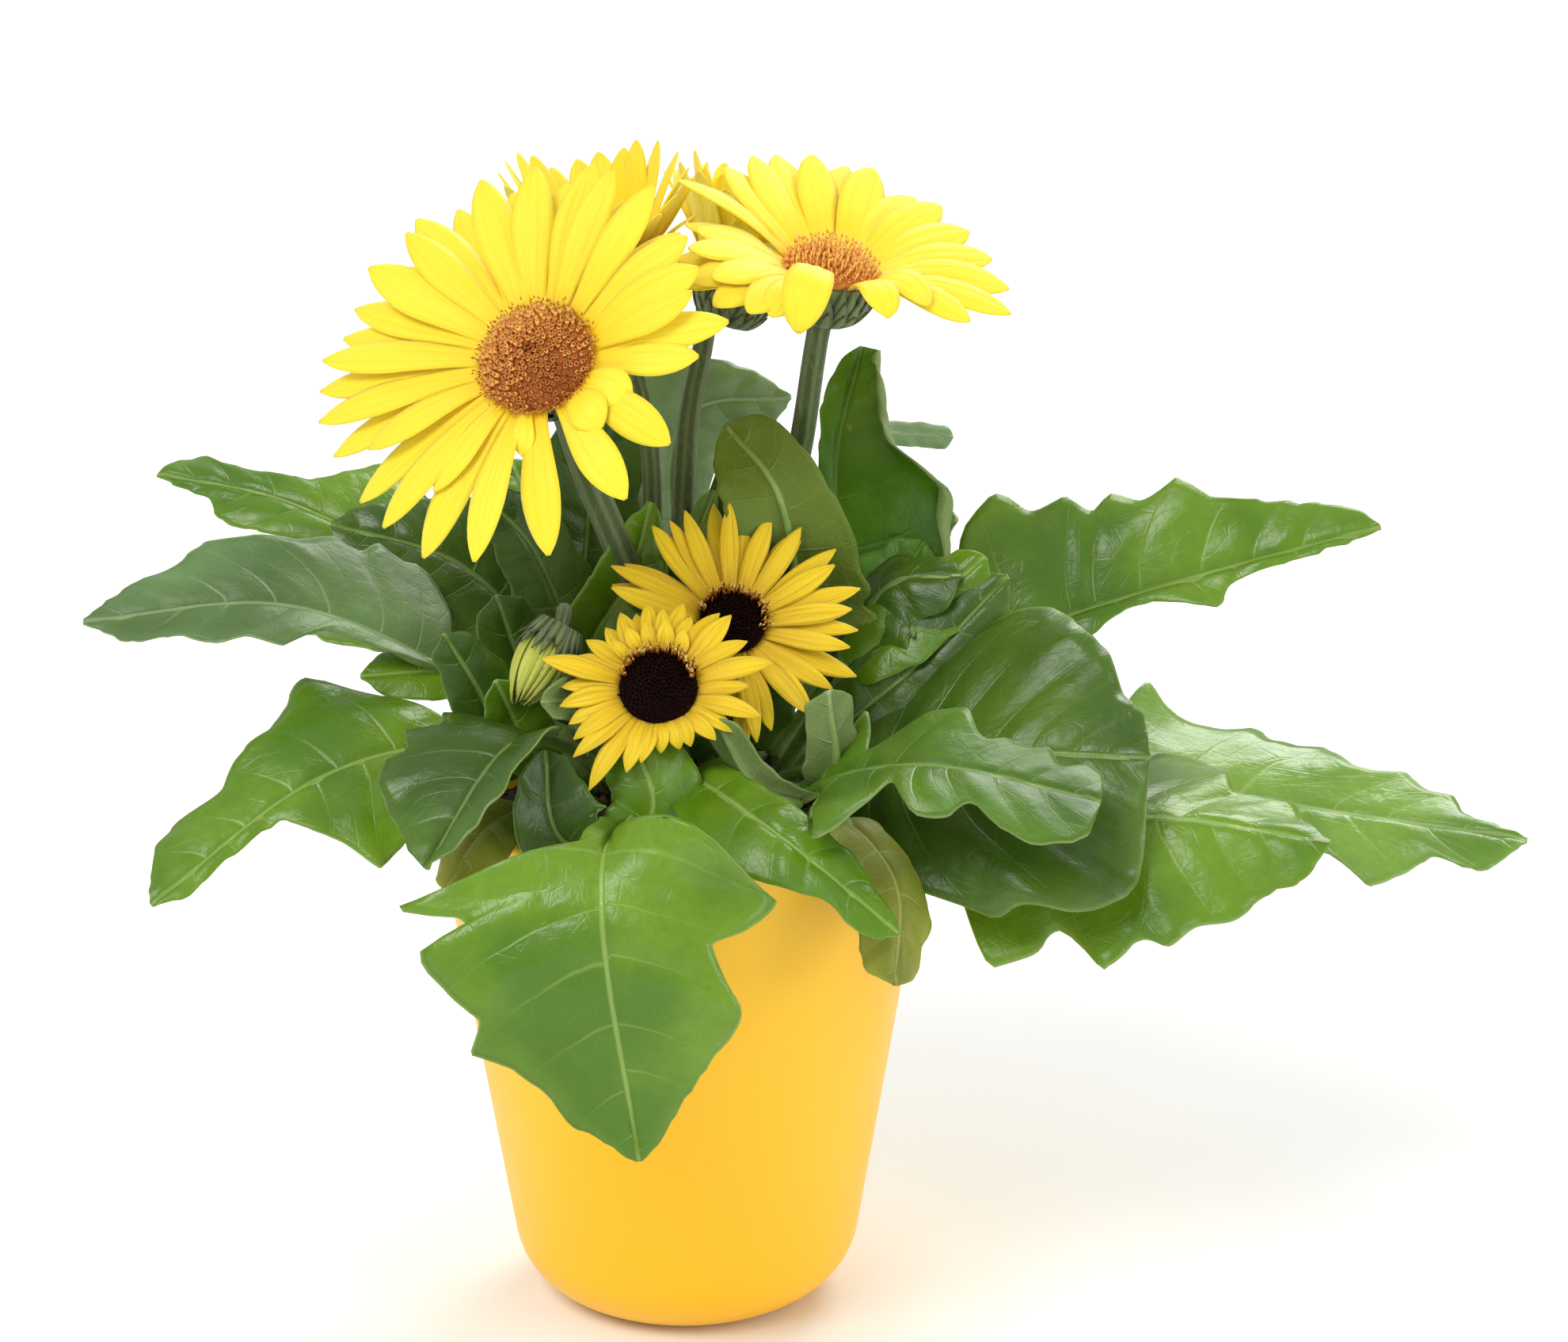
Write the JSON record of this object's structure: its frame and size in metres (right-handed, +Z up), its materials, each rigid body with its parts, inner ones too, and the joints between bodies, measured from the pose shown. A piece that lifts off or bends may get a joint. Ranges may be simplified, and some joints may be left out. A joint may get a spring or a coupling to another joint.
{
  "type": "potted gerbera daisy",
  "caption": "Gerbera daisy in a tapered round pot: a rosette of lobed leaves, upright stalks with open daisy flower heads, low half-open flowers and a nodding bud.",
  "frame": {"origin": "centre of the pot's flat underside, which stands on the floor", "axes": "+Z up along the pot's own axis, -Y towards the side that the flowers face, +X to the right of that view"},
  "size_m": [0.3986, 0.28, 0.3256],
  "materials": {
    "glaze": "smooth golden yellow glaze with a satin sheen",
    "soil": "dark moist crumbly compost",
    "crown": "short packed leaf bases, dull olive",
    "leaf": "mid green leaf, glossy above and pale below",
    "old_leaf": "ageing leaf, olive turning yellow",
    "stalk": "grey-green ribbed stalk with fine hair",
    "cup": "dark green overlapping bracts",
    "petal": "bright lemon yellow rays, matt and silky",
    "young_petal": "golden amber rays of a flower that is opening",
    "eye": "orange-brown disc of small florets",
    "dark_eye": "maroon-black disc with a ring of stamens",
    "bud": "green bracts over yellow-green rolled rays"
  },
  "bodies": {
    "root": {"pot": "glaze", "soil": "soil", "crown": "crown", "leaf_back": "leaf", "leaf_back_centre": "leaf", "leaf_back_left": "leaf", "leaf_back_left_low": "leaf", "leaf_back_middle": "leaf", "leaf_back_right": "leaf", "leaf_back_right_low": "leaf", "leaf_back_right_wide": "leaf", "leaf_far_right": "leaf", "leaf_front": "leaf", "leaf_front_curl": "leaf", "leaf_front_left": "leaf", "leaf_front_right": "leaf", "leaf_left_back": "leaf", "leaf_left_inner": "leaf", "leaf_left_long": "leaf", "leaf_left_lower": "leaf", "leaf_left_upper": "leaf", "leaf_mid_left": "leaf", "leaf_mid_right": "leaf", "leaf_right_broad": "leaf", "leaf_right_inner": "leaf", "leaf_right_light": "leaf", "leaf_right_lower": "leaf", "leaf_right_upper": "leaf", "leaf_rim_right": "old_leaf", "leaf_small_upright": "leaf", "leaf_under_left": "old_leaf", "stalk_bud": "stalk", "stalk_low_left": "stalk", "stalk_low_right": "stalk", "stalk_tall_back": "stalk", "stalk_tall_left": "stalk", "stalk_tall_middle": "stalk", "stalk_tall_right": "stalk", "flower_low_left_cup": "cup", "flower_low_left_eye": "dark_eye", "flower_low_left_petals": "young_petal", "flower_low_right_cup": "cup", "flower_low_right_eye": "dark_eye", "flower_low_right_petals": "young_petal", "flower_tall_back_cup": "cup", "flower_tall_back_eye": "eye", "flower_tall_back_petals": "petal", "flower_tall_left_cup": "cup", "flower_tall_left_eye": "eye", "flower_tall_left_petals": "petal", "flower_tall_middle_cup": "cup", "flower_tall_middle_eye": "eye", "flower_tall_middle_petals": "petal", "flower_tall_right_cup": "cup", "flower_tall_right_eye": "eye", "flower_tall_right_petals": "petal", "bud": "bud"}
  },
  "joints": []
}
